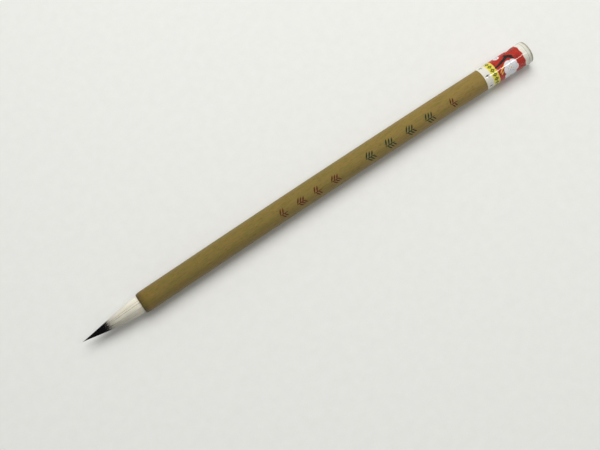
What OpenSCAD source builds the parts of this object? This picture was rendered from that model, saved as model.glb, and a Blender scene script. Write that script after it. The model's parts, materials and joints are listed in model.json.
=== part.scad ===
// Small-script calligraphy brush: bamboo handle, engraved and inlaid, with a printed label under clear
// film at the top and a tied tuft of two layers of hair glued in the mouth.
// It lies along X on the surface it rests on: the point towards -X, the label towards +X, +Z up.
// The origin is under the middle of the whole length. Lengths in mm, angles in degrees.

/* [Handle] */
// Length of the bamboo from its mouth to its top end
bamboo_l = 174.9; // [165:0.1:185]
// Outside diameter of the bamboo above its mouth
mouth_d = 8.2; // [8:0.1:8.4]
// Outside diameter of the bamboo under the label
top_d = 8.8; // [8.5:0.1:9.2]
// Diameter of the natural hole along the bamboo
pith_d = 3; // [2:0.1:3.6]
// Depth of the socket for the tuft
socket_depth = 13; // [12.5:0.1:15]
// Length over which the mouth is rounded off
mouth_round_l = 2.5; // [1:0.1:3]
// How far the outside is drawn in at the mouth
mouth_round_in = 0.4; // [0.2:0.05:0.4]
// Length of the plain round seat above the rounded mouth, for a cap
seat_l = 20; // [15:1:25]
// Rounding of the top end
top_round = 0.5; // [0.2:0.1:0.5]

/* [Engraving] */
// Depth of the engraved sprigs
engrave_depth = 0.15; // [0.1:0.01:0.25]
// How far the pigment stays below the bamboo's surface
pigment_below = 0.03; // [0.01:0.01:0.05]
// Turn of the engraved row from the top of the handle towards -Y
engrave_turn = 39; // [0:1:90]
// Height of a sprig along the handle
sprig_l = 4.6; // [3.6:0.1:5]
// Length of a sprig's lowest leaf
leaf_l = 3; // [2.4:0.1:3.2]
// Width of a leaf
leaf_w = 0.56; // [0.4:0.02:0.6]
// Width of a stem
stem_w = 0.36; // [0.26:0.02:0.4]
// Distance from the mouth to the middle of the lowest russet sprig
russet_from = 61.6; // [55:0.1:65]
// Step from one russet sprig to the next
russet_step = 7.6; // [7:0.1:8]
// Distance from the mouth to the middle of the lowest green sprig
green_from = 100.2; // [98:0.1:105]
// Step from one green sprig to the next
green_step = 9.1; // [8.5:0.1:9.2]
// Distance from the mouth to the middle of the small top sprig
top_sprig_at = 138.7; // [136:0.1:142]

/* [Label] */
// Distance from the mouth to the lower edge of the film
film_from = 153.5; // [150:0.1:158]
// Thickness of the clear film
film_t = 0.07; // [0.05:0.01:0.1]
// Thickness of the printed paper under the film
paper_t = 0.06; // [0.04:0.01:0.1]
// How far the paper's lower edge stands back from the film's
paper_back = 0.1; // [0.1:0.1:0.5]
// Distance from the paper's upper edge to the bamboo's top end
paper_below_top = 1.5; // [0.5:0.1:3]
// Inner diameter of the film's lip over the top end
film_lip_d = 5.6; // [4.6:0.1:7]
// Gap between the bamboo's top end and the film's lip
film_gap = 0.23; // [0.1:0.01:0.4]

/* [Tuft] */
// Length of hair outside the mouth
hair_out = 24.8; // [23:0.1:27]
// Diameter of the tuft at the mouth
tuft_d = 6.5; // [6.3:0.05:6.6]
// How full the tuft's belly is: 0 is a plain cone
fullness = 1; // [0.4:0.1:1]
// Diameter of the inner bundle of hair at the mouth
core_d = 4; // [3.6:0.1:4.4]
// Diameter of the inner bundle of hair where the covering hair ends
core_end_d = 2.2; // [2:0.1:2.4]
// Length of hair inside the socket
root_l = 11; // [10:0.1:11.5]
// Thickness of the glue between the tuft and the socket
glue_t = 0.1; // [0.05:0.01:0.12]
// Distance that the glue stays back from the mouth
glue_back = 1; // [0.5:0.1:2]
// Thickness of the rosin on the root's end
rosin_t = 0.9; // [0.5:0.1:1]
// Diameter of the binding thread
thread_d = 0.3; // [0.2:0.05:0.4]
// Turns of the binding thread
thread_turns = 8; // [4:1:10]

/* [Bending] */
// Distance from the mouth to the middle of the belly's bend
belly_bend_at = 2.2; // [2:0.1:3]
// Largest bend of the belly each way
belly_bend = 30; // [15:1:30]
// Distance from the mouth to the middle of the point's bend
point_bend_at = 14.3; // [13.5:0.1:15]
// Largest bend of the point each way
point_bend = 40; // [15:1:40]
// Play between a rounded root and the hollow it turns in
bend_play = 0.06; // [0.04:0.01:0.1]

/* [Hidden] */
$fn = 96;

mouth_r = mouth_d / 2;
bamboo_r = top_d / 2;
tuft_r = tuft_d / 2;
socket_r = tuft_r + glue_t;
paper_r = bamboo_r + paper_t;
film_r = paper_r + film_t;
film_end = bamboo_l + film_gap + film_t;
whole_l = hair_out + film_end;
mouth_x = hair_out - whole_l / 2;
arc_steps = 16;
hair_steps = 10;
bow_steps = 360;
touch_rounds = 8;
film_round = top_round + film_t;
belly_touch = touch_at(belly_bend_at, belly_bend_at, touch_rounds);
point_touch = touch_at(point_bend_at, point_bend_at, touch_rounds);
belly_ball_r = norm([hair_r(belly_touch), belly_touch - belly_bend_at]);
point_ball_r = norm([hair_r(point_touch), point_touch - point_bend_at]);
belly_taper = atan(hair_slope(belly_touch));
point_taper = atan(hair_slope(point_touch));
root_rim_at = belly_bend_at - belly_ball_r * sin(belly_bend - belly_taper);
belly_rim_at = point_bend_at - point_ball_r * sin(point_bend - point_taper);
thread_end_gap = 0.6;
thread_from = root_l - thread_end_gap - thread_turns * thread_d;
thread_seat_r = tuft_r - thread_d;
thread_arc = 337.5;
seat_top = mouth_round_l + seat_l;
first_leaf = -0.42;
leaf_step = 0.27;
leaf_shrink = 0.12;
spare = 1;

// Radius of the whole tuft at a distance out of the mouth
function hair_r(out) = let (left = 1 - out / hair_out)
  tuft_r * (left + fullness * left * left * (1 - left));

// How fast that radius falls on the way to the point
function hair_slope(out) = let (left = 1 - out / hair_out)
  tuft_r / hair_out * (1 + fullness * left * (2 - 3 * left));

// Where a ball with its middle on the axis touches the tuft's surface from inside
function touch_at(middle, guess, rounds) =
  rounds == 0 ? guess : touch_at(middle, middle + hair_r(guess) * hair_slope(guess), rounds - 1);

// Points on the tuft's surface between two distances out of the mouth
function hair_line(from, to) =
  [for (i = [0 : hair_steps]) let (out = from + (to - from) * i / hair_steps) [hair_r(out), -out]];

// Radius of the inner bundle at a distance out of the mouth
function core_r(out) = (core_d + (core_end_d - core_d) * out / belly_rim_at) / 2;

// Points of an elliptic quarter or other arc: across is the radius, along the distance from the mouth
function arc(across, along, r_across, r_along, from, to) =
  [for (i = [0 : arc_steps]) let (a = from + (to - from) * i / arc_steps)
    [across + r_across * cos(a), along + r_along * sin(a)]];

// Round solid on the handle's axis, from an outline of [radius, distance up from the mouth]
module turned(outline) {
  translate([mouth_x, 0, film_r]) rotate([0, 90, 0]) rotate_extrude() polygon(outline);
}

// Places children at a distance up from the mouth, with +Z out through the engraved row
module engraved_at(up) {
  translate([mouth_x + up, 0, film_r]) rotate([engrave_turn, 0, 0]) children();
}

// Pointed leaf standing as a prism along +Z, from the origin towards +X
module leaf(length, width) {
  bow_r = (length * length + width * width) / (4 * width);
  intersection() {
    translate([length / 2, bow_r - width / 2, 0]) cylinder(r = bow_r, h = bamboo_r + spare, $fn = bow_steps);
    translate([length / 2, width / 2 - bow_r, 0]) cylinder(r = bow_r, h = bamboo_r + spare, $fn = bow_steps);
  }
}

// One sprig: a stem and pairs of leaves that get smaller towards its tip
module sprig(size, pairs, lean) {
  length = sprig_l * size;
  translate([-length / 2, 0, 0]) leaf(length, stem_w);
  for (i = [0 : pairs - 1]) {
    up = length * (first_leaf + leaf_step * i);
    reach = leaf_l * size * (1 - leaf_shrink * i);
    translate([up, 0, 0]) rotate([0, 0, lean]) leaf(reach, leaf_w);
    translate([up + leaf_w, 0, 0]) rotate([0, 0, 10 - lean]) leaf(reach * 0.9, leaf_w * 0.9);
  }
}

// All green sprigs as prisms
module green_sprigs() {
  for (i = [0 : 3]) {
    engraved_at(green_from + i * green_step) sprig(1, 3, (i % 2 == 0) ? 56 : 64);
  }
}

// All russet sprigs as prisms
module russet_sprigs() {
  for (i = [0 : 3]) {
    engraved_at(russet_from + i * russet_step) sprig(0.92, 2 + i % 2, (i % 2 == 0) ? 62 : 54);
  }
  engraved_at(top_sprig_at) sprig(0.85, 2, 70);
}

// Outline of the bamboo's outside, drawn in all over by a depth: rounded mouth, plain seat for a cap,
// growth up to the label and rounded top
function bamboo_outline(below) = concat(
  [[0, 0]],
  arc(mouth_r - mouth_round_in - below, mouth_round_l, mouth_round_in, mouth_round_l, -90, 0),
  [[mouth_r - below, seat_top], [bamboo_r - below, film_from]],
  arc(bamboo_r - top_round - below, bamboo_l - top_round, top_round, top_round, 0, 90),
  [[0, bamboo_l]]);

// Bamboo tube with rounded ends, the socket for the tuft, the pith hole and the engraved sprigs
module bamboo_shaft() {
  color([0.48, 0.42, 0.24]) difference() {
    turned(bamboo_outline(0));
    translate([mouth_x - spare, 0, film_r]) rotate([0, 90, 0])
      cylinder(r = socket_r, h = socket_depth + spare);
    translate([mouth_x, 0, film_r]) rotate([0, 90, 0])
      cylinder(r = pith_d / 2, h = bamboo_l + spare);
    difference() {
      union() {
        green_sprigs();
        russet_sprigs();
      }
      turned(bamboo_outline(engrave_depth));
    }
  }
}

// Pigment rubbed into the sprigs given as children
module pigment() {
  intersection() {
    children();
    difference() {
      turned(bamboo_outline(pigment_below));
      turned(bamboo_outline(engrave_depth));
    }
  }
}

module green_pigment() {
  color([0.1, 0.32, 0.26]) pigment() green_sprigs();
}

module russet_pigment() {
  color([0.4, 0.17, 0.1]) pigment() russet_sprigs();
}

// Printed paper wrapped round the bamboo
module label_paper() {
  low = film_from + paper_back;
  high = bamboo_l - paper_below_top;
  color([0.78, 0.2, 0.12]) turned([[bamboo_r, low], [paper_r, low], [paper_r, high], [bamboo_r, high]]);
}

// Clear film shrunk over the paper, its lip turned in over the top end
module clear_film() {
  shoulder = film_end - film_round;
  color([0.92, 0.93, 0.9, 0.4]) turned(concat(
    [[paper_r, film_from], [film_r, film_from]],
    arc(film_r - film_round, shoulder, film_round, film_round, 0, 90),
    [[film_lip_d / 2, film_end], [film_lip_d / 2, film_end - film_t]],
    arc(paper_r - top_round, film_end - film_t - top_round, top_round, top_round, 90, 0)));
}

// Glue between the tuft's root and the socket's wall
module socket_glue() {
  color([0.72, 0.55, 0.25])
    turned([[tuft_r, glue_back], [socket_r, glue_back], [socket_r, root_l], [tuft_r, root_l]]);
}

// Rosin melted over the flat end of the root
module rosin_button() {
  color([0.6, 0.33, 0.1]) turned(concat(
    [[0, root_l], [thread_seat_r, root_l]],
    arc(0, root_l, thread_seat_r, rosin_t, 0, 90)));
}

// Thread tied round the root, turn against turn
module binding_thread() {
  color([0.85, 0.8, 0.68]) for (i = [0 : thread_turns - 1]) {
    up = thread_from + (i + 0.5) * thread_d;
    turned(arc(thread_seat_r + thread_d / 2, up, thread_d / 2, thread_d / 2, 0, thread_arc));
  }
}

// Ball of a root or hollow of a seat, with its middle on the tuft's axis
module bend_ball(out, radius) {
  turned(concat([[0, -out - radius]], arc(0, -out, radius, radius, -90, 90)));
}

// Hair fixed in the socket, both layers, hollowed at the front for the belly to bend in
module root_hair() {
  difference() {
    turned([[0, -root_rim_at], [hair_r(root_rim_at), -root_rim_at], [tuft_r, 0], [tuft_r, thread_from],
      [thread_seat_r, thread_from], [thread_seat_r, root_l], [0, root_l]]);
    bend_ball(belly_bend_at, belly_ball_r + bend_play);
  }
}

// Hair between the two bends, both layers, round at the back and hollowed at the front
module belly_hair() {
  difference() {
    turned(concat(
      [[0, -belly_rim_at]],
      hair_line(belly_rim_at, belly_touch),
      arc(0, -belly_bend_at, belly_ball_r, belly_ball_r, -belly_taper, 90)));
    bend_ball(point_bend_at, point_ball_r + bend_play);
  }
}

// Inner bundle's bar, from the root's end to past the belly's front
module core_bar() {
  turned([[0, -point_bend_at], [core_r(point_bend_at), -point_bend_at], [core_r(-root_l), spare + root_l],
    [0, spare + root_l]]);
}

module cover_hair_root() {
  color([0.86, 0.83, 0.76]) difference() {
    root_hair();
    core_bar();
  }
}

module core_hair_root() {
  color([0.7, 0.66, 0.6]) intersection() {
    root_hair();
    core_bar();
  }
}

module cover_hair_belly() {
  color([0.9, 0.87, 0.8]) difference() {
    belly_hair();
    core_bar();
  }
}

module core_hair_belly() {
  color([0.62, 0.58, 0.53]) intersection() {
    belly_hair();
    core_bar();
  }
}

module core_hair_point() {
  color([0.1, 0.09, 0.09]) turned(concat(
    hair_line(hair_out, point_touch),
    arc(0, -point_bend_at, point_ball_r, point_ball_r, -point_taper, 90)));
}

bamboo_shaft();
green_pigment();
russet_pigment();
label_paper();
clear_film();
socket_glue();
rosin_button();
binding_thread();
cover_hair_root();
core_hair_root();
cover_hair_belly();
core_hair_belly();
core_hair_point();
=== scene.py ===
import json
import math

import bpy
import numpy as np
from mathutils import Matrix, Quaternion, Vector


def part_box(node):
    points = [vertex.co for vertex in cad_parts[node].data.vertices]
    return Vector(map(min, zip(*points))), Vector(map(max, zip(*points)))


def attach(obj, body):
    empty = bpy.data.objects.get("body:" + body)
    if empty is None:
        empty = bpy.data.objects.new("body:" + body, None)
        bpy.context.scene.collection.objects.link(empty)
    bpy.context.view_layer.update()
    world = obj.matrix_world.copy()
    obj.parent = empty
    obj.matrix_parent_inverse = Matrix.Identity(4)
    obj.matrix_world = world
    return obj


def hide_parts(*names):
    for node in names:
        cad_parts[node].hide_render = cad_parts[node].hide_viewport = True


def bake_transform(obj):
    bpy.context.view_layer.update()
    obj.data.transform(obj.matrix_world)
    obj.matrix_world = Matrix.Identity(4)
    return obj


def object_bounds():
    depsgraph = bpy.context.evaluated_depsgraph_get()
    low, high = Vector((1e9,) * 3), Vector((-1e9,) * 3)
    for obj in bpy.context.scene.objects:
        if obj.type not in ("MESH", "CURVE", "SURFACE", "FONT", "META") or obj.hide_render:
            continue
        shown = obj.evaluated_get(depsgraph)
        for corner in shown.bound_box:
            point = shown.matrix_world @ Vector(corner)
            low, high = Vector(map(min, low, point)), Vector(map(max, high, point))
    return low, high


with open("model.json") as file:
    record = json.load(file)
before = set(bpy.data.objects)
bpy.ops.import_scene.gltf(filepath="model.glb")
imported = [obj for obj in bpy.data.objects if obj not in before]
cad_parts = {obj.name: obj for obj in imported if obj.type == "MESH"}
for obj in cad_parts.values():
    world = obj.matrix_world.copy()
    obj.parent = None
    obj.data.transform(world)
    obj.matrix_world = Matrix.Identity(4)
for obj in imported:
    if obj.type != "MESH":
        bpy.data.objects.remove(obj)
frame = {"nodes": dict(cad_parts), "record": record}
cad_low, cad_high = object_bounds()

# ------------------------------------------------------------------ bamboo shaft
# One internode of thin bamboo, scraped, sanded and lightly waxed, a little thicker and bowed near
# its top. The mouth is turned down and bored out for the tuft, and nine sprigs are cut in the skin.
MM = 0.001
shaft_low, shaft_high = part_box("bamboo_shaft")
film_low, film_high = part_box("clear_film")
seat, hole = frame["record"]["mounts"]
mouth_x = shaft_low.x
axis_z = (shaft_low.z + shaft_high.z) / 2
shaft_l = shaft_high.x - shaft_low.x
shaft_r = (shaft_high.z - shaft_low.z) / 2
seat_r = seat["dims"]["r_mm"] * MM
pith_r = hole["dims"]["r_mm"] * MM
socket_depth = shaft_l - hole["dims"]["length_mm"] * MM
socket_r = (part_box("socket_glue")[1].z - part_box("socket_glue")[0].z) / 2
mouth_round_l = 2.5 * MM
mouth_round_in = 0.4 * MM
top_round = 0.5 * MM
grown_from = mouth_round_l + seat["dims"]["length_mm"] * MM
grown_to = film_low.x - mouth_x
bow = 0.6 * MM
hair_out = mouth_x - cad_low.x
hair_sway = 0.2 * MM
cut_depth = 0.13 * MM
cut_wall = 0.06 * MM
row_turn = math.radians(39)
row_half = math.radians(36)
fine_step = 0.1 * MM
round_step = 0.4 * MM
coarse_step = 0.9 * MM


def smooth(value, low, high):
    share = np.clip((value - low) / (high - low), 0, 1)
    return share * share * (3 - 2 * share)


def new_piece(name, points, faces):
    """A mesh whose four-sided faces are smooth and whose end caps stay flat."""
    mesh = bpy.data.meshes.new(name)
    mesh.from_pydata(np.asarray(points).tolist(), [], [list(map(int, f)) for f in faces])
    mesh.update()
    mesh.polygons.foreach_set("use_smooth", [len(f) == 4 for f in faces])
    piece = bpy.data.objects.new(name, mesh)
    bpy.context.scene.collection.objects.link(piece)
    return piece


def round_points(along, across, turns):
    """Points round the bowed middle line: along from the mouth, turned from the top to -Y."""
    along, across, turns = np.broadcast_arrays(along, across, turns)
    share = np.clip(along / shaft_l, 0, 1)
    sway = hair_sway * np.sin(np.pi * np.clip(-along / hair_out, 0, 1))
    sideways = bow * 4 * share * (1 - share) - sway
    y, z = sideways - across * np.sin(turns), axis_z + across * np.cos(turns)
    return np.stack([mouth_x + along, y, z], -1)


def grid_faces(rows, columns, loop):
    """Four-sided faces that look outwards when the rows go up the handle."""
    row = np.arange(rows if loop else rows - 1)
    column = np.arange(columns)
    a, b = np.meshgrid(row, column, indexing="ij")
    up, side = (a + 1) % rows, (b + 1) % columns
    low, high = a * columns, up * columns
    return np.stack([low + b, low + side, high + side, high + b], -1).reshape(-1, 4)


def leaf_distance(along, across, length, width):
    """How far a point lies outside a pointed leaf that starts at 0 and grows along."""
    arc_r = (length * length + width * width) / (4 * width)
    return np.hypot(along - length / 2, np.abs(across) + arc_r - width / 2) - arc_r


sprig_l = 4.6 * MM
leaf_l = 3.0 * MM
leaf_w = 0.56 * MM
stem_w = 0.36 * MM


def sprig_half(size):
    """Half the stretch of handle that a sprig of this size can take up."""
    return sprig_l * size * 0.62


def sprig_distance(along, across, size, pairs, lean):
    """How far a point lies outside a stem with pairs of leaves that get smaller towards its tip."""
    length = sprig_l * size
    nearest = leaf_distance(along + length / 2, across, length, stem_w)
    for i in range(pairs):
        foot = length * (0.27 * i - 0.42)
        reach = leaf_l * size * (1 - 0.12 * i)
        for start, leaf, width, turn in (
            (foot, reach, leaf_w, lean),
            (foot + leaf_w, reach * 0.9, leaf_w * 0.9, math.radians(10) - lean),
        ):
            u = (along - start) * math.cos(turn) + across * math.sin(turn)
            v = across * math.cos(turn) - (along - start) * math.sin(turn)
            nearest = np.minimum(nearest, leaf_distance(u, v, leaf, width))
    return nearest


# Each sprig: how far its middle is from the mouth, its size, its pairs of leaves and their lean
russet_sprigs = [
    ((61.6 + 7.6 * i) * MM, 0.92, 2 + i % 2, math.radians(54 if i % 2 else 62)) for i in range(4)
]
russet_sprigs.append((138.7 * MM, 0.85, 2, math.radians(70)))
green_sprigs = [
    ((100.2 + 9.1 * i) * MM, 1, 3, math.radians(64 if i % 2 else 56)) for i in range(4)
]


def cut_distance(along, turns, sprigs):
    """How far a place on the skin lies outside the nearest of the sprigs."""
    across = (row_turn - turns) * seat_r
    nearest = np.full(np.broadcast(along, turns).shape, sprig_l)
    for middle, size, pairs, lean in sprigs:
        nearest = np.minimum(nearest, sprig_distance(along - middle, across, size, pairs, lean))
    return nearest


def bamboo_radius(along, turns):
    """The outside: thicker towards the top, not quite round, with faint ridges of fibre."""
    share = np.clip((along - grown_from) / (grown_to - grown_from), 0, 1)
    r = seat_r + (shaft_r - seat_r) * share
    r = r - 0.012 * MM * (1 + np.sin(2 * turns + along / (31 * MM)))
    return r - 0.006 * MM * (1 + np.sin(23 * turns + 2.1 * np.sin(along / (17 * MM))))


def fine_and_coarse(low, high, stretches, fine, coarse):
    """Places from low to high, close together inside the stretches and wide apart between them."""
    places, at = [], low
    for start, end in stretches:
        wide_steps = max(2, int((start - at) / coarse) + 1)
        places += list(np.linspace(at, start, wide_steps, endpoint=False))
        places += list(np.linspace(start, end, int((end - start) / fine) + 1, endpoint=False))
        at = end
    places += list(np.linspace(at, high, max(2, int((high - at) / coarse) + 1)))
    return np.array(places)


def stacked(columns, *parts):
    """Rows of places under each other, all of them this many columns wide."""
    return np.concatenate([np.broadcast_to(part, (len(part), columns)) for part in parts])


cut_stretches = [
    (middle - sprig_half(size), middle + sprig_half(size))
    for middle, size, pairs, lean in sorted(russet_sprigs + green_sprigs)
]
bamboo_turns = fine_and_coarse(
    row_turn - math.pi, row_turn + math.pi, [(row_turn - row_half, row_turn + row_half)],
    fine_step / shaft_r, round_step / shaft_r,
)[:-1]
skin = fine_and_coarse(
    mouth_round_l, shaft_l - top_round, cut_stretches, fine_step, coarse_step
)[:, None]
skin_turns = bamboo_turns[None, :]
cut = cut_distance(skin, skin_turns, russet_sprigs + green_sprigs)
skin_r = bamboo_radius(skin, skin_turns) - cut_depth * (1 - smooth(cut, -cut_wall, cut_wall * 0.4))

quarter = np.radians(np.linspace(-90, 0, 9))[:-1, None]
wear = 0.06 * MM * np.sin(5 * skin_turns + 1) * np.sin(3 * skin_turns)
mouth_along = mouth_round_l * (1 + np.sin(quarter))
mouth_wear = np.abs(wear) * (1 - np.cos(quarter))
mouth_across = seat_r - mouth_round_in + mouth_round_in * np.cos(quarter) - mouth_wear
top_quarter = np.radians(np.linspace(0, 90, 7))[1:, None]
top_along = shaft_l - top_round + top_round * np.sin(top_quarter)
top_across = shaft_r - top_round + (top_round - 0.02 * MM) * np.cos(top_quarter)
# The rest of the outline: in over the top, down the pith hole, along the socket to the mouth
inner = [
    (shaft_l, 3.1 * MM), (shaft_l, 2.3 * MM), (shaft_l, pith_r + 0.05 * MM),
    (shaft_l - 0.05 * MM, pith_r), (shaft_l * 0.7, pith_r * 0.94), (shaft_l * 0.4, pith_r * 1.03),
    (socket_depth + 0.1 * MM, pith_r), (socket_depth, pith_r + 0.1 * MM),
    (socket_depth, socket_r - 0.1 * MM), (socket_depth - 0.1 * MM, socket_r),
    (socket_depth * 0.5, socket_r), (0.1 * MM, socket_r), (0, socket_r + 0.03 * MM),
]
inner_along = np.array([place for place, across in inner])[:, None]
inner_across = np.array([across for place, across in inner])[:, None]
rows_along = stacked(len(bamboo_turns), mouth_along, skin, top_along, inner_along)
rows_across = stacked(len(bamboo_turns), mouth_across, skin_r, top_across, inner_across)
bamboo = new_piece(
    "bamboo_handle",
    round_points(rows_along, rows_across, skin_turns).reshape(-1, 3),
    grid_faces(len(rows_along), len(bamboo_turns), loop=True),
)
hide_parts("bamboo_shaft")
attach(bamboo, "handle")


class Finish:
    """A material being mixed: nodes are added one by one and joined to the surface."""

    def __init__(self, name, roughness):
        self.material = bpy.data.materials.new(name)
        self.material.use_nodes = True
        self.tree = self.material.node_tree
        self.surface = self.tree.nodes["Principled BSDF"]
        self.surface.inputs["Roughness"].default_value = roughness

    def node(self, kind, **settings):
        made = self.tree.nodes.new(kind)
        for key, value in settings.items():
            if hasattr(made, key):
                setattr(made, key, value)
            else:
                made.inputs[key.replace("_", " ")].default_value = value
        return made

    def join(self, source, target):
        self.tree.links.new(source, target)

    def place(self, stretch=(1, 1, 1)):
        """The object's own coordinates in metres, stretched."""
        coordinates = self.node("ShaderNodeTexCoord")
        mapping = self.node("ShaderNodeMapping", vector_type="POINT")
        mapping.inputs["Scale"].default_value = stretch
        self.join(coordinates.outputs["Object"], mapping.inputs["Vector"])
        return mapping.outputs["Vector"]

    def noise(self, stretch, scale, detail=3.0, roughness=0.55):
        made = self.node("ShaderNodeTexNoise", Scale=scale, Detail=detail, Roughness=roughness)
        self.join(self.place(stretch), made.inputs["Vector"])
        return made.outputs["Fac"]

    def up(self, low, high, first=0.0, last=1.0):
        """A value that goes from first to last between two places along the brush."""
        apart = self.node("ShaderNodeSeparateXYZ")
        self.join(self.place(), apart.inputs["Vector"])
        made = self.node(
            "ShaderNodeMapRange", From_Min=low, From_Max=high, To_Min=first, To_Max=last
        )
        self.join(apart.outputs["X"], made.inputs["Value"])
        return made.outputs["Result"]

    def ramp(self, value, stops):
        """Colours or greys at their places from 0 to 1."""
        made = self.node("ShaderNodeValToRGB")
        ends = made.color_ramp.elements
        while len(ends) < len(stops):
            ends.new(0.5)
        for end, (at, colour) in zip(ends, stops):
            end.position = at
            end.color = (*colour, 1) if hasattr(colour, "__len__") else (colour, colour, colour, 1)
        self.join(value, made.inputs["Fac"])
        return made.outputs["Color"]

    def mix(self, share, first, second, kind="MIX"):
        """Two colours mixed by a share, which is a number or a value from another node."""
        made = self.node("ShaderNodeMix", data_type="RGBA", blend_type=kind)
        for value, socket in ((share, 0), (first, 6), (second, 7)):
            if hasattr(value, "links"):
                self.join(value, made.inputs[socket])
            elif socket == 0:
                made.inputs[0].default_value = value
            else:
                made.inputs[socket].default_value = (*value, 1)
        return made.outputs[2]

    def multiply(self, first, second):
        return self.mix(1.0, first, second, kind="MULTIPLY")

    def colour(self, value):
        self.join(value, self.surface.inputs["Base Color"])

    def relief(self, height, depth, strength=1.0):
        bump = self.node("ShaderNodeBump", Strength=strength, Distance=depth)
        self.join(height, bump.inputs["Height"])
        self.join(bump.outputs["Normal"], self.surface.inputs["Normal"])

    def dress(self, *pieces):
        for piece in pieces:
            piece.data.materials.clear()
            piece.data.materials.append(self.material)


def paint(red, green, blue):
    """A paint chip given as 0 to 255, in the light that the render works in."""
    return tuple(
        ((c / 255 + 0.055) / 1.055) ** 2.4 if c > 10 else c / 255 / 12.92
        for c in (red, green, blue)
    )


bamboo_skin = Finish("waxed bamboo", roughness=0.5)
# Colour along the handle, darkest at the mouth and lighter towards the top: partly the bamboo's own
# tone and partly painted light, standing in for light that is stronger towards the top end.
ground = bamboo_skin.ramp(
    bamboo_skin.up(shaft_low.x, shaft_high.x),
    [
        (0, paint(72, 61, 30)), (0.006, paint(98, 83, 39)), (0.014, paint(119, 99, 46)),
        (0.04, paint(120, 104, 52)), (0.5, paint(130, 113, 58)), (0.85, paint(141, 119, 63)),
    ],
)
ruddy = bamboo_skin.ramp(bamboo_skin.noise((210, 760, 760), 1.6), [(0.5, 0.0), (0.8, 0.5)])
ground = bamboo_skin.mix(ruddy, ground, paint(150, 108, 58))
moss = bamboo_skin.ramp(bamboo_skin.noise((150, 560, 560), 1.5), [(0.5, 0.0), (0.8, 0.55)])
ground = bamboo_skin.mix(moss, ground, paint(100, 100, 42))
fibre = bamboo_skin.noise((40, 1200, 1200), 2.6, detail=4)
ground = bamboo_skin.multiply(ground, bamboo_skin.ramp(fibre, [(0.3, 0.93), (0.7, 1.05)]))
vessels = bamboo_skin.ramp(
    bamboo_skin.noise((420, 1500, 1500), 1.5, detail=2),
    [(0.28, paint(238, 229, 222)), (0.44, (1, 1, 1)), (0.7, (1.07, 1.05, 1.0))],
)
bamboo_skin.colour(bamboo_skin.multiply(ground, vessels))
bamboo_skin.relief(fibre, 0.04 * MM, 0.3)
bamboo_skin.surface.inputs["Specular IOR Level"].default_value = 0.35
bamboo_skin.dress(bamboo)

# ------------------------------------------------------------------ pigment in the sprigs
# Matte mineral paint rubbed into the cuts with a finger and wiped off, so it lies below the skin:
# green in the four upper sprigs, russet in the four lower ones and the small one under the label.
pigment_below = 0.035 * MM
pigment_floor = 0.15 * MM
pigment_step = 0.08 * MM
pigment_spill = 0.02 * MM


def drop_loose(piece):
    """Removes the points that no face uses."""
    used = np.zeros(len(piece.data.vertices), bool)
    corners = np.zeros(len(piece.data.loops), np.int32)
    piece.data.loops.foreach_get("vertex_index", corners)
    used[corners] = True
    kept = np.cumsum(used) - 1
    points = np.zeros(len(used) * 3)
    piece.data.vertices.foreach_get("co", points)
    faces = [[int(kept[v]) for v in polygon.vertices] for polygon in piece.data.polygons]
    mesh = bpy.data.meshes.new(piece.data.name + "_kept")
    mesh.from_pydata(points.reshape(-1, 3)[used].tolist(), [], faces)
    mesh.shade_smooth()
    piece.data = mesh


def rub_in(name, sprigs, node, colour, worn):
    """Fills sprigs with small closed slabs of paint, whose top follows the skin just below it."""
    points, faces = [], []
    for middle, size, pairs, lean in sprigs:
        half = sprig_half(size)
        along = np.arange(middle - half, middle + half, pigment_step)[:, None]
        turns = np.arange(row_turn - row_half, row_turn + row_half, pigment_step / shaft_r)[None, :]
        inside = cut_distance(along, turns, [(middle, size, pairs, lean)]) < pigment_spill
        skin_here = bamboo_radius(along, turns)
        uneven = 0.01 * MM * np.sin(along / (0.23 * MM)) * np.sin(turns * 61)
        count = along.shape[0] * turns.shape[1]
        first = sum(len(p) for p in points)
        points.append(round_points(along, skin_here - pigment_below + uneven, turns).reshape(-1, 3))
        points.append(round_points(along, skin_here - pigment_floor, turns).reshape(-1, 3))
        filled = inside[:-1, :-1] & inside[1:, :-1] & inside[:-1, 1:] & inside[1:, 1:]
        padded = np.pad(filled, 1)
        wide = turns.shape[1]
        for i, j in zip(*np.nonzero(filled)):
            a, b = first + i * wide + j, first + i * wide + j + 1
            c, d = b + wide, a + wide
            faces.append((a, b, c, d))
            faces.append((d + count, c + count, b + count, a + count))
            for near, p, q in (
                (padded[i, j + 1], a, b), (padded[i + 1, j + 2], b, c),
                (padded[i + 2, j + 1], c, d), (padded[i + 1, j], d, a),
            ):
                if not near:
                    faces.append((q, p, p + count, q + count))
    piece = new_piece(name, np.concatenate(points), faces)
    drop_loose(piece)
    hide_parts(node)
    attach(piece, "handle")
    finish = Finish(name, roughness=0.75)
    chalk = finish.ramp(finish.noise((1, 1, 1), 4200, detail=2), [(0.35, 0.75), (0.7, 1.25)])
    thin = finish.ramp(finish.noise((1, 1, 1), 1300, detail=1), [(0.55, 0.0), (0.8, worn)])
    rubbed = finish.mix(thin, colour, paint(110, 98, 60))
    finish.colour(finish.multiply(rubbed, chalk))
    finish.relief(chalk, 0.02 * MM, 0.6)
    finish.dress(piece)


rub_in("green_paint", green_sprigs, "green_pigment", paint(2, 46, 38), 0.1)
rub_in("russet_paint", russet_sprigs, "russet_pigment", paint(92, 28, 18), 0.2)

# ------------------------------------------------------------------ printed paper
# A strip of coated paper wrapped once round the top of the handle and lapped over itself behind:
# a white edge with small ticks, a yellow band with lozenges, then blossom on a branch over red.
paper_low, paper_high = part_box("label_paper")
paper_from = paper_low.x - mouth_x
paper_to = paper_high.x - mouth_x
paper_out = (paper_high.z - paper_low.z) / 2
paper_in = shaft_r + 0.005 * MM
lap_turn = math.radians(200)
lap_w = math.radians(24)
lap_t = 0.012 * MM
front_turn = math.radians(16)
label_rows = 205
label_columns = 272


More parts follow.
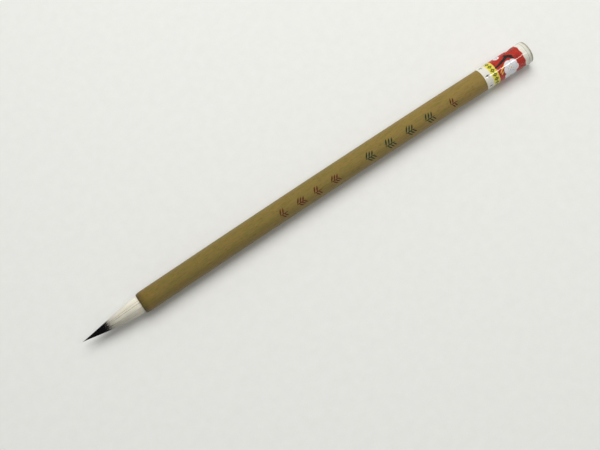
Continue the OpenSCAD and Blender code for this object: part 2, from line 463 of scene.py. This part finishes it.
def lapped(turns):
    """1 where the strip's end lies over its start."""
    lap_end = lap_turn + lap_w
    return smooth(turns, lap_turn, lap_turn + 0.02) * (1 - smooth(turns, lap_end, lap_end + 0.02))


paper_turns = np.linspace(0, 2 * math.pi, label_columns, endpoint=False)[None, :]
paper_along = np.linspace(paper_from, paper_to, label_rows)[:, None]
paper_r = paper_out - lap_t + lap_t * lapped(paper_turns)
outer_rows = np.broadcast_to(paper_r, (paper_along.size, paper_turns.size))
inner_rows = np.full((2, paper_turns.size), paper_in)
paper_rows = np.broadcast_to(paper_along, outer_rows.shape)
back_rows = np.broadcast_to(np.array([paper_to, paper_from])[:, None], inner_rows.shape)
label_points = round_points(
    np.concatenate([paper_rows, back_rows]), np.concatenate([outer_rows, inner_rows]), paper_turns
)
label_faces = grid_faces(label_rows + len(back_rows), label_columns, loop=True)
label = new_piece("printed_band", label_points.reshape(-1, 3), label_faces)
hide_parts("label_paper")
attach(label, "handle")

white = np.array(paint(228, 225, 213))
tick_grey = np.array(paint(70, 72, 80))
yellow = np.array(paint(226, 216, 74))
olive = np.array(paint(114, 110, 14))
gold = np.array(paint(232, 190, 92))
red = np.array(paint(178, 32, 8))
deep_red = np.array(paint(132, 14, 8))
black = np.array(paint(12, 8, 6))
petal = np.array(paint(228, 228, 232))
petal_shade = np.array(paint(176, 178, 190))
yellow_from, yellow_to = 156.7 * MM, 159.3 * MM
red_from, red_to = 159.5 * MM, 171.5 * MM
edge = 0.06 * MM

art_along, art_turns = np.broadcast_arrays(paper_along, paper_turns)
art_round = art_turns * paper_out
print_colour = np.broadcast_to(white, (*art_along.shape, 3)).copy()


def lay(inside, colour):
    """Prints a colour where inside, in metres, is above nothing."""
    share = smooth(inside, -edge, edge)[..., None]
    print_colour[:] = print_colour * (1 - share) + np.asarray(colour) * share


def wrapped(turns, middle):
    """Distance round the label from a middle line, either way."""
    return ((turns - middle + math.pi) % (2 * math.pi) - math.pi) * paper_out


def between(value, low, high):
    return np.minimum(value - low, high - value)


lay(between(art_along, yellow_from, yellow_to), yellow)
lozenge_count = 15
lozenge_step = 2 * math.pi * paper_out / lozenge_count
cell = (art_round + 0.3 * lozenge_step) % lozenge_step - lozenge_step / 2
band_mid = (yellow_from + yellow_to) / 2
lozenge = 0.92 * MM - np.abs(cell) - np.abs(art_along - band_mid) * 0.9
lay(lozenge, olive)
lay(0.2 * MM - np.abs(cell) - np.abs(art_along - band_mid), yellow)
lay(between(art_along, red_from - 0.32 * MM, red_from + 0.03 * MM), gold)
tick_cell = (art_round + 0.7 * lozenge_step) % (2.5 * lozenge_step) - 1.25 * lozenge_step
tick_mid = (paper_from + yellow_from) / 2
lay(0.34 * MM - np.abs(tick_cell) - np.abs(art_along - tick_mid) * 0.35, tick_grey)
lay(0.24 * MM - np.abs(tick_cell - 0.7 * MM) - np.abs(art_along - tick_mid - 0.3 * MM), tick_grey)

ripple = 0.12 * MM * np.sin(art_turns * 9)
lay(between(art_along, red_from, red_to + ripple), red)
drift = 2 * np.sin(art_along / (1.7 * MM))
cloud = np.sin(art_round / (1.3 * MM) + drift) * np.sin(art_along / (1.1 * MM) + 1.4)
on_red = between(art_along, red_from, red_to) > 0
shade = smooth(cloud, 0.1, 0.7)[..., None] * on_red[..., None] * 0.6
print_colour = print_colour * (1 - shade) + deep_red * shade


def branch(turn_from, along_from, turn_to, along_to, thick_from, thick_to, sway):
    """A tapering branch between two places on the label, with a sway in the middle."""
    share = np.clip((art_along - along_from) / (along_to - along_from), 0, 1)
    middle = turn_from + (turn_to - turn_from) * share + sway * np.sin(np.pi * share)
    thick = thick_from + (thick_to - thick_from) * share
    reach = np.minimum(art_along - min(along_from, along_to), max(along_from, along_to) - art_along)
    lay(np.minimum(thick - np.abs(wrapped(art_turns, middle)), reach), black)


def blossom(turn, along, size, lean):
    """Five round petals with notched tips, shaded towards a heart with small stamens."""
    u = art_along - along
    v = wrapped(art_turns, turn)
    out = np.hypot(u, v)
    around = np.arctan2(v, u) - lean
    lobes = 0.78 + 0.22 * np.abs(np.cos(2.5 * around)) ** 0.5
    lay(size * lobes - out, petal)
    vein = smooth(0.16 - np.abs(np.cos(2.5 * around)), 0, 0.12)
    near = (size * lobes - out > 0.1 * MM) * smooth(out, size * 0.2, size * 0.5)
    share = (0.5 * vein * near)[..., None]
    print_colour[:] = print_colour * (1 - share) + petal_shade * share
    for i in range(7):
        angle = lean + i * 2 * math.pi / 7
        reach = size * (0.42 if i % 2 else 0.3)
        spot = np.hypot(u - reach * math.cos(angle), v - reach * math.sin(angle))
        lay(0.13 * MM - spot, tick_grey)
    lay(size * 0.1 - out, gold)


branch(front_turn - 0.22, 159.3 * MM, front_turn - 0.62, 165.8 * MM, 0.3 * MM, 0.7 * MM, 0.06)
branch(front_turn - 0.85, 164.9 * MM, front_turn - 0.26, 167.8 * MM, 0.7 * MM, 1.05 * MM, 0.0)
branch(front_turn + 3.3, 160.4 * MM, front_turn + 2.3, 170 * MM, 0.2 * MM, 0.6 * MM, 0.3)
branch(front_turn + 2.2, 170.6 * MM, front_turn + 3.9, 165 * MM, 0.55 * MM, 0.2 * MM, -0.2)
blossom(front_turn + 1.2, 164.3 * MM, 2.8 * MM, 1.2)
blossom(front_turn + 0.46, 165.2 * MM, 3.3 * MM, 0.5)
blossom(front_turn - 1.15, 162.6 * MM, 1.3 * MM, 0.9)
blossom(front_turn + 2.4, 167.4 * MM, 2.6 * MM, 0.2)
blossom(front_turn + 3.6, 163.6 * MM, 2.2 * MM, 0.9)
blossom(front_turn + 4.6, 168.0 * MM, 2.2 * MM, 0.4)
for turn, along, long in (
    (0.22, 161.2, 1.6), (0.05, 162.4, 1.0), (0.5, 161.0, 0.8), (3.1, 165.5, 1.2),
):
    u = art_along - along * MM
    v = wrapped(art_turns, front_turn + turn)
    lay(0.2 * MM - np.abs(u * 0.8 + v) * 0.7 - np.maximum(np.abs(u) - long * MM / 2, 0), gold)


def ink(piece, layer, colours):
    """Gives each point of a piece its own colour."""
    stored = piece.data.color_attributes.new(layer, "FLOAT_COLOR", "POINT")
    opaque = np.ones((len(colours), 1))
    stored.data.foreach_set("color", np.concatenate([colours, opaque], 1).ravel())


back_white = np.broadcast_to(white, (len(back_rows) * label_columns, 3))
ink(label, "print", np.concatenate([print_colour.reshape(-1, 3), back_white]))
print_finish = Finish("coated print", roughness=0.6)
ink_node = print_finish.node("ShaderNodeVertexColor", layer_name="print")
speckle = print_finish.noise((1, 1, 1), 2600, detail=2)
speckle = print_finish.ramp(speckle, [(0.3, 0.93), (0.7, 1.04)])
print_finish.colour(print_finish.multiply(ink_node.outputs["Color"], speckle))
print_finish.relief(speckle, 0.01 * MM, 0.5)
print_finish.surface.inputs["Specular IOR Level"].default_value = 0.15
print_finish.surface.inputs["Coat Weight"].default_value = 0.55
print_finish.surface.inputs["Coat Roughness"].default_value = 0.1
print_finish.dress(label)

# ------------------------------------------------------------------ clear film
# Thin clear film shrunk over the paper with warm air. It is slightly wrinkled where it gathers, and
# its upper edge has curled in over the end of the bamboo and left the pith hole open.
film_from = film_low.x - mouth_x
film_to = film_high.x - mouth_x
film_out = (film_high.z - film_low.z) / 2
film_t = 0.07 * MM
film_round = top_round + film_t
lip_r = 2.8 * MM
film_columns = 192
film_turns = np.linspace(0, 2 * math.pi, film_columns, endpoint=False)[None, :]


def film_wrinkle(along, turns):
    """Small creases that run along the film where it has shrunk most, at its two ends."""
    lower = 1 - smooth(along, film_from, film_from + 1.2 * MM)
    upper = smooth(along, film_to - 2.2 * MM, film_to - 0.4 * MM)
    folds = np.sin(31 * turns + 2 * np.sin(3 * turns)) + np.sin(47 * turns + 1.1)
    return -0.008 * MM * (lower + upper) * (1 + 0.5 * folds)


straight = np.linspace(film_from, film_to - film_round, 60)[:, None]
bend = np.radians(np.linspace(0, 90, 8))[1:, None]
outer_along = np.concatenate([straight, film_to - film_round + film_round * np.sin(bend)])
outer_across = np.concatenate(
    [np.full_like(straight, film_out), film_out - film_round + film_round * np.cos(bend)]
)
lip_share = np.linspace(0, 1, 6)[1:, None]
lip_wave = 0.09 * MM * np.sin(7 * film_turns + 0.6) + 0.05 * MM * np.sin(17 * film_turns)
lip_reach = lip_r - film_out + film_round
lip_across = film_out - film_round + lip_reach * lip_share + lip_wave * lip_share
lip_along = np.broadcast_to(film_to - 0.02 * MM * lip_share, lip_across.shape)
out_along = stacked(film_columns, outer_along, lip_along)
out_across = stacked(film_columns, outer_across, lip_across)
out_across = out_across + film_wrinkle(out_along, film_turns)
flat_share = smooth(out_across, film_out - film_round, film_out)
in_along = out_along - film_t * (1 - flat_share)
in_across = out_across - film_t * flat_share * 0.9
film_along = np.concatenate([out_along, in_along[::-1]])
film_across = np.concatenate([out_across, in_across[::-1]])
film = new_piece(
    "film_sleeve",
    round_points(film_along, film_across, film_turns).reshape(-1, 3),
    grid_faces(len(film_along), film_columns, loop=True),
)
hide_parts("clear_film")
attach(film, "handle")
film_finish = Finish("clear film", roughness=0.06)
haze = film_finish.noise((1, 1, 1), 700, detail=2)
clouded = film_finish.ramp(haze, [(0.3, paint(226, 223, 210)), (0.7, paint(240, 238, 228))])
curled = film_finish.ramp(haze, [(0.3, paint(138, 134, 106)), (0.7, paint(184, 180, 154))])
curl = film_finish.up(film_high.x - 1.0 * MM, film_high.x - 0.5 * MM)
film_finish.colour(film_finish.mix(curl, clouded, curled))
gathered = film_finish.up(film_high.x - 1.95 * MM, film_high.x - 1.75 * MM, 0.012, 0.85)
film_finish.join(gathered, film_finish.surface.inputs["Alpha"])
film_finish.surface.inputs["IOR"].default_value = 1.5
film_finish.relief(haze, 0.02 * MM, 0.3)
film_finish.dress(film)

# ------------------------------------------------------------------ tuft of hair
# Two layers of hair tied at the root: a core of dark-tipped hair that makes the point, and white
# goat hair laid round it that stops short of the point. Starch holds the new tuft straight.
tuft_r = (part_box("cover_hair_root")[1].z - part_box("cover_hair_root")[0].z) / 2
root_l_mm = (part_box("core_hair_root")[1].x - mouth_x) / MM
join_at = 9.0 * MM
hair_sides = 3
mass_sides = 120
random = np.random.default_rng(7)
white_hair = np.array(paint(234, 233, 223))
cream_hair = np.array(paint(232, 225, 205))
brown_hair = np.array(paint(128, 100, 84))
grey_hair = np.array(paint(110, 102, 94))
black_hair = np.array(paint(11, 9, 13))


def tuft_radius(out):
    """A full belly that draws in to a fine point."""
    left = np.clip(1 - out / hair_out, 0, 1)
    return tuft_r * (left + left * left * (1 - left))


def hair_lines(stations, depth, turns, lift, sway):
    """How far out hairs lie at their stations from the mouth, and at what turn."""
    across = tuft_radius(stations) * depth + lift
    swing = sway[:, None] * np.sin(stations / (6.5 * MM) + turns[:, None] * 5)
    return across, turns[:, None] + swing


def hair_tubes(stations, across, angle, thick):
    """Thin tubes round the hairs' lines, closed at both ends."""
    hairs, steps = stations.shape
    middle = round_points(-stations, across, angle)
    outward = np.stack([np.zeros_like(angle), -np.sin(angle), np.cos(angle)], -1)
    sideways = np.stack([np.zeros_like(angle), -np.cos(angle), -np.sin(angle)], -1)
    corners = []
    for side in range(hair_sides):
        around = 2 * math.pi * side / hair_sides
        away = math.cos(around) * outward + math.sin(around) * sideways
        corners.append(middle + thick[..., None] * away)
    points = np.stack(corners, 2).reshape(-1, 3)
    first = np.arange(hairs)[:, None, None] * steps * hair_sides
    step = np.arange(steps - 1)[None, :, None] * hair_sides
    side = np.arange(hair_sides)[None, None, :]
    a, b = first + step + side, first + step + (side + 1) % hair_sides
    tubes = np.stack([a, a + hair_sides, b + hair_sides, b], -1).reshape(-1, 4)
    start = first[:, 0, 0]
    end = start + (steps - 1) * hair_sides
    caps = [list(range(at, at + hair_sides)) for at in start]
    caps += [list(range(at, at + hair_sides))[::-1] for at in end]
    return points, tubes.tolist() + caps


def hair_mass(stations, depth, ridges):
    """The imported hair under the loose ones: a closed body with shallow grooves between locks."""
    turns = np.linspace(0, 2 * math.pi, mass_sides, endpoint=False)[None, :]
    near_ends = stations[[0, -1]] + np.array([0.02, -0.02]) * MM
    stations = np.concatenate(
        [stations[:1], near_ends[:1], stations[1:-1], near_ends[1:], stations[-1:]]
    )
    depth = np.pad(depth, 1, mode="edge")
    across = tuft_radius(np.maximum(stations, 0))[:, None] * depth[:, None]
    groove = 1 - ridges * (0.5 + 0.5 * np.sin(37 * turns + 3 * np.sin(2 * turns)))
    points = round_points(-stations[:, None], across * groove, turns).reshape(-1, 3)
    body = grid_faces(len(stations), mass_sides, loop=False)[:, ::-1].tolist()
    last = (len(stations) - 1) * mass_sides
    return points, body + [list(range(mass_sides)), list(range(last, last + mass_sides))[::-1]]


def gather(parts):
    """One mesh out of several lots of points, faces and colours."""
    points, faces, colours, first = [], [], [], 0
    for part_points, part_faces, part_colours in parts:
        faces += [[corner + first for corner in face] for face in part_faces]
        points.append(part_points)
        colours.append(part_colours)
        first += len(part_points)
    return np.concatenate(points), faces, np.concatenate(colours)


def hair_piece(name, parts, replaced):
    points, faces, colours = gather(parts)
    piece = new_piece(name, points, faces)
    ink(piece, "tint", colours)
    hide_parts(*replaced)
    return piece


def mixed(first, second, share):
    share = np.asarray(share)[..., None]
    return np.asarray(first) * (1 - share) + np.asarray(second) * share


def on_tubes(tone):
    """The colour at each station, for all the corners of the tube there."""
    return np.repeat(tone[:, :, None, :], hair_sides, axis=2).reshape(-1, 3)


def stations_between(low, high, steps):
    """Stations for many hairs from low to high out of the mouth, close together at the ends."""
    share = np.concatenate([[0, 0.003], np.linspace(0, 1, steps - 2)[1:-1], [0.997, 1]])[None, :]
    low, high = np.broadcast_arrays(np.atleast_1d(low)[:, None], np.atleast_1d(high)[:, None])
    return low + (high - low) * share


cover_count = 1000
cover_turns = np.sort(random.uniform(0, 2 * math.pi, cover_count))
cover_depth = random.uniform(0.982, 1.0, cover_count)
cover_lift = random.uniform(0, 0.02, cover_count) * MM
cover_sway = random.normal(0, 0.004, cover_count)
cover_end = random.normal(14.4, 0.8, cover_count) * MM
cover_thick = random.uniform(0.026, 0.045, cover_count) * MM
cover_tone = random.uniform(0, 1, cover_count)
cover_brown = (random.uniform(0, 1, cover_count) < 0.03) * random.uniform(0.15, 0.4, cover_count)
for turn, share in ((0.08, 1.0), (-0.2, 0.6), (0.62, 0.5), (2.9, 0.8)):
    dark_one = np.argmin(np.abs(cover_turns - turn % (2 * math.pi)))
    cover_brown[dark_one] = share
    cover_depth[dark_one] = 1.006
    cover_thick[dark_one] = 0.07 * MM


def cover_part(low, high, steps, ends_here):
    stations = stations_between(np.full(cover_count, low), high, steps)
    across, angle = hair_lines(
        stations, cover_depth[:, None], cover_turns, cover_lift[:, None], cover_sway
    )
    left = np.ones_like(stations)
    if ends_here:
        left = np.clip((cover_end[:, None] - stations) / (3.5 * MM), 0.12, 1)
    across = across - 0.02 * MM * (1 - left)
    points, faces = hair_tubes(stations, across, angle, cover_thick[:, None] * left)
    tone = mixed(mixed(white_hair, cream_hair, cover_tone), brown_hair, cover_brown)[:, None, :]
    soiled = smooth(stations, 7 * MM, 15 * MM)[..., None] * 0.38
    tone = tone * (1 - soiled) + grey_hair * soiled
    # Painted light: the hair is made 16 % lighter up to 1 mm out of the mouth, fading to its own
    # colour by 7 mm, to make up for the shade that the rim of the handle casts on the root.
    tone = tone * (1.16 - 0.16 * smooth(stations, 1 * MM, 7 * MM)[..., None])
    return points, faces, on_tubes(tone)


def cover_mass(places, depth):
    points, faces = hair_mass(np.array(places) * MM, np.array(depth), 0.006)
    return points, faces, np.broadcast_to(white_hair * 0.95, points.shape)


join_at_mm = join_at / MM
cover_upper = hair_piece(
    "cover_hair_upper",
    [
        cover_mass(
            [-root_l_mm, -7.7, -7.6, -3, 0, 1, 2, 3, 4, 5, 6, 7, 8, join_at_mm],
            [0.9, 0.9, 0.985, 0.985] + [0.985] * 10,
        ),
        cover_part(-1.0 * MM, join_at, 16, False),
    ],
    ["cover_hair_root", "core_hair_root"],
)
cover_lower = hair_piece(
    "cover_hair_lower",
    [
        cover_mass(list(np.linspace(join_at_mm, 13, 6)), [0.985, 0.98, 0.972, 0.96, 0.94, 0.91]),
        cover_part(join_at, cover_end, 14, True),
    ],
    ["cover_hair_belly", "core_hair_belly"],
)

core_count = 460
core_below = 0.86
core_turns = np.sort(random.uniform(0, 2 * math.pi, core_count))
core_emerge = random.normal(13.6, 0.8, core_count) * MM
core_end = hair_out - np.minimum(random.exponential(1.3, core_count), 7.5) * MM
core_end[::20] = hair_out - random.uniform(0, 0.25, core_end[::20].size) * MM
core_sway = random.normal(0, 0.01, core_count)
core_thick = random.uniform(0.026, 0.045, core_count) * MM
core_tone = random.uniform(0, 1, core_count)
core_stations = stations_between(np.full(core_count, join_at), core_end, 28)
risen = smooth(core_stations, core_emerge[:, None] - 1.8 * MM, core_emerge[:, None] + 0.4 * MM)
core_depth = core_below + (random.uniform(0.97, 1.003, core_count)[:, None] - core_below) * risen
core_lift = np.zeros((core_count, 1))
core_across, core_angle = hair_lines(core_stations, core_depth, core_turns, core_lift, core_sway)
fineness = np.clip((core_end[:, None] - core_stations) / (6 * MM), 0.08, 1)
core_points, core_faces = hair_tubes(
    core_stations, core_across, core_angle, core_thick[:, None] * fineness
)
darkness = smooth(core_stations, core_emerge[:, None] - 1.5 * MM, core_emerge[:, None] + 0.6 * MM)
core_colour = mixed(grey_hair, black_hair, darkness) * (0.7 + 0.6 * core_tone[:, None, None])
point_mass_at = np.linspace(join_at, hair_out - 0.6 * MM, 24)
point_mass_at = np.append(point_mass_at, hair_out - 0.05 * MM)
point_mass_depth = 0.84 + 0.135 * smooth(point_mass_at, 11.5 * MM, 14 * MM)
mass_points, mass_faces = hair_mass(point_mass_at, point_mass_depth, 0.015)
mass_dark = smooth(mouth_x - mass_points[:, 0], 12.2 * MM, 13.8 * MM)
core_point = hair_piece(
    "core_hair_tip",
    [
        (mass_points, mass_faces, mixed(grey_hair, black_hair, mass_dark)),
        (core_points, core_faces, on_tubes(core_colour)),
    ],
    ["core_hair_point"],
)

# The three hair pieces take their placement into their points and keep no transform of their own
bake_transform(cover_upper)
for piece in (cover_lower, core_point):
    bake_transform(piece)


def hair_finish(name, pieces, roughness, streak_low, streak_high):
    finish = Finish(name, roughness)
    tint = finish.node("ShaderNodeVertexColor", layer_name="tint")
    streaks = finish.noise((40, 1500, 1500), 3.0)
    streaks = finish.ramp(streaks, [(0.3, streak_low), (0.7, streak_high)])
    finish.colour(finish.multiply(tint.outputs["Color"], streaks))
    finish.relief(streaks, 0.03 * MM, 0.5)
    finish.surface.inputs["Specular IOR Level"].default_value = 0.22
    finish.dress(*pieces)


hair_finish("white goat hair", [cover_upper, cover_lower], 0.5, 0.93, 1.04)
hair_finish("black hair tips", [core_point], 0.45, 0.7, 1.2)

# ------------------------------------------------------------------ thread, rosin and glue
# Ramie thread is wound and knotted round the root before melted rosin seals its end, and the whole
# root is set into the socket with glue. All three are hidden in the mouth of the handle.
thread_low, thread_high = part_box("binding_thread")
thread_r = 0.15 * MM
thread_run = (thread_high.z - thread_low.z) / 2 - thread_r
thread_turns = 8
thread_plies = 3
ply_twist = 9
steps_per_turn = 40
helix_steps = thread_turns * steps_per_turn
helix_share = np.linspace(0, 1, helix_steps)
helix_turn = helix_share * thread_turns * 2 * math.pi
helix_l = thread_high.x - thread_low.x - 2 * thread_r
helix_along = thread_low.x - mouth_x + thread_r + helix_l * helix_share
helix_middle = round_points(helix_along, np.full_like(helix_along, thread_run), helix_turn)
helix_out = np.stack([np.zeros_like(helix_turn), -np.sin(helix_turn), np.cos(helix_turn)], -1)
helix_up = np.tile([1.0, 0.0, 0.0], (helix_steps, 1))
sides = 10
thread_points = []
for side in range(sides):
    around = 2 * math.pi * side / sides
    plied_r = thread_r * (0.9 + 0.08 * np.sin(thread_plies * (around + helix_turn * ply_twist)))
    away = math.cos(around) * helix_out + math.sin(around) * helix_up
    thread_points.append(helix_middle + plied_r[:, None] * away)
thread_points = np.stack(thread_points, 1).reshape(-1, 3)
thread_faces = grid_faces(helix_steps, sides, loop=False).tolist()
last_ring = (helix_steps - 1) * sides
thread_faces += [list(range(sides))[::-1], list(range(last_ring, last_ring + sides))]
thread = new_piece("root_thread", thread_points, thread_faces)
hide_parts("binding_thread")
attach(thread, "handle")
thread_finish = Finish("ramie thread", roughness=0.8)
lint = thread_finish.noise((1, 1, 1), 5200)
thread_colours = [(0.3, paint(188, 174, 140)), (0.7, paint(226, 214, 184))]
thread_finish.colour(thread_finish.ramp(lint, thread_colours))
thread_finish.relief(lint, 0.02 * MM, 0.6)
thread_finish.dress(thread)

rosin_finish = Finish("melted rosin", roughness=0.2)
bubbles = rosin_finish.noise((1, 1, 1), 1900, detail=2)
rosin_colours = [(0.3, paint(120, 66, 20)), (0.7, paint(176, 104, 38))]
rosin_finish.colour(rosin_finish.ramp(bubbles, rosin_colours))
rosin_finish.relief(bubbles, 0.05 * MM, 0.5)
rosin_finish.dress(frame["nodes"]["rosin_button"])

glue_finish = Finish("amber glue", roughness=0.3)
dried = glue_finish.noise((1, 1, 1), 1500, detail=2)
glue_colours = [(0.3, paint(168, 128, 60)), (0.7, paint(206, 170, 98))]
glue_finish.colour(glue_finish.ramp(dried, glue_colours))
glue_finish.relief(dried, 0.03 * MM, 0.5)
glue_finish.dress(frame["nodes"]["socket_glue"])

# ------------------------------------------------------------------ table, light and camera
# The brush lies on a smooth pale table in soft daylight that comes over its far side, with a small
# lamp on the ceiling, and the camera is held above it and a little towards the near side.
table_half = 3.0
table_corners = [
    (-table_half, -table_half, 0), (table_half, -table_half, 0),
    (table_half, table_half, 0), (-table_half, table_half, 0),
]
table = new_piece("table", table_corners, [(0, 1, 2, 3)])
table_finish = Finish("pale table", roughness=0.5)
table_grain = table_finish.noise((1, 1, 1), 260)
table_colours = [(0.3, paint(231, 231, 228)), (0.7, paint(234, 234, 231))]
table_finish.colour(table_finish.ramp(table_grain, table_colours))
table_finish.dress(table)


def soft_light(name, place, aim, size, power, tint):
    """A round lamp at a place, turned towards what it is aimed at."""
    lamp = bpy.data.lights.new(name, "AREA")
    lamp.shape = "DISK"
    lamp.size = size
    lamp.energy = power
    lamp.color = tint
    holder = bpy.data.objects.new(name, lamp)
    holder.location = place
    holder.rotation_euler = (Vector(aim) - Vector(place)).to_track_quat("-Z", "Y").to_euler()
    bpy.context.scene.collection.objects.link(holder)
    return holder


window = soft_light(
    "window", place=(0.22, 0.32, 0.76), aim=(0, 0, 0), size=0.75, power=6.3,
    tint=(1.0, 0.998, 0.985),
)
window.visible_glossy = False
soft_light(
    "ceiling_lamp", place=(0.52, -0.46, 1.03), aim=(0.09, 0, 0), size=0.06, power=0.9,
    tint=(1.0, 0.97, 0.9),
)

world = bpy.data.worlds.new("daylight")
world.use_nodes = True
sky = world.node_tree.nodes["Background"]
sky.inputs["Color"].default_value = (0.99, 0.995, 0.985, 1)
sky.inputs["Strength"].default_value = 0.32
bpy.context.scene.world = world
bpy.context.scene.view_settings.view_transform = "Standard"

camera_data = bpy.data.cameras.new("camera")
camera_data.lens = 64.5
camera_data.clip_start = 0.01
camera = bpy.data.objects.new("camera", camera_data)
camera.location = (-0.0655, -0.109, 0.3845)
camera_aim = Vector((-0.0103, -0.0069, 0))
camera_roll = Quaternion((0, 0, 1), math.radians(-6))
camera_turn = (camera_aim - camera.location).to_track_quat("-Z", "Y")
camera.rotation_euler = (camera_turn @ camera_roll).to_euler()
bpy.context.scene.collection.objects.link(camera)
bpy.context.scene.camera = camera

bpy.context.view_layer.update()
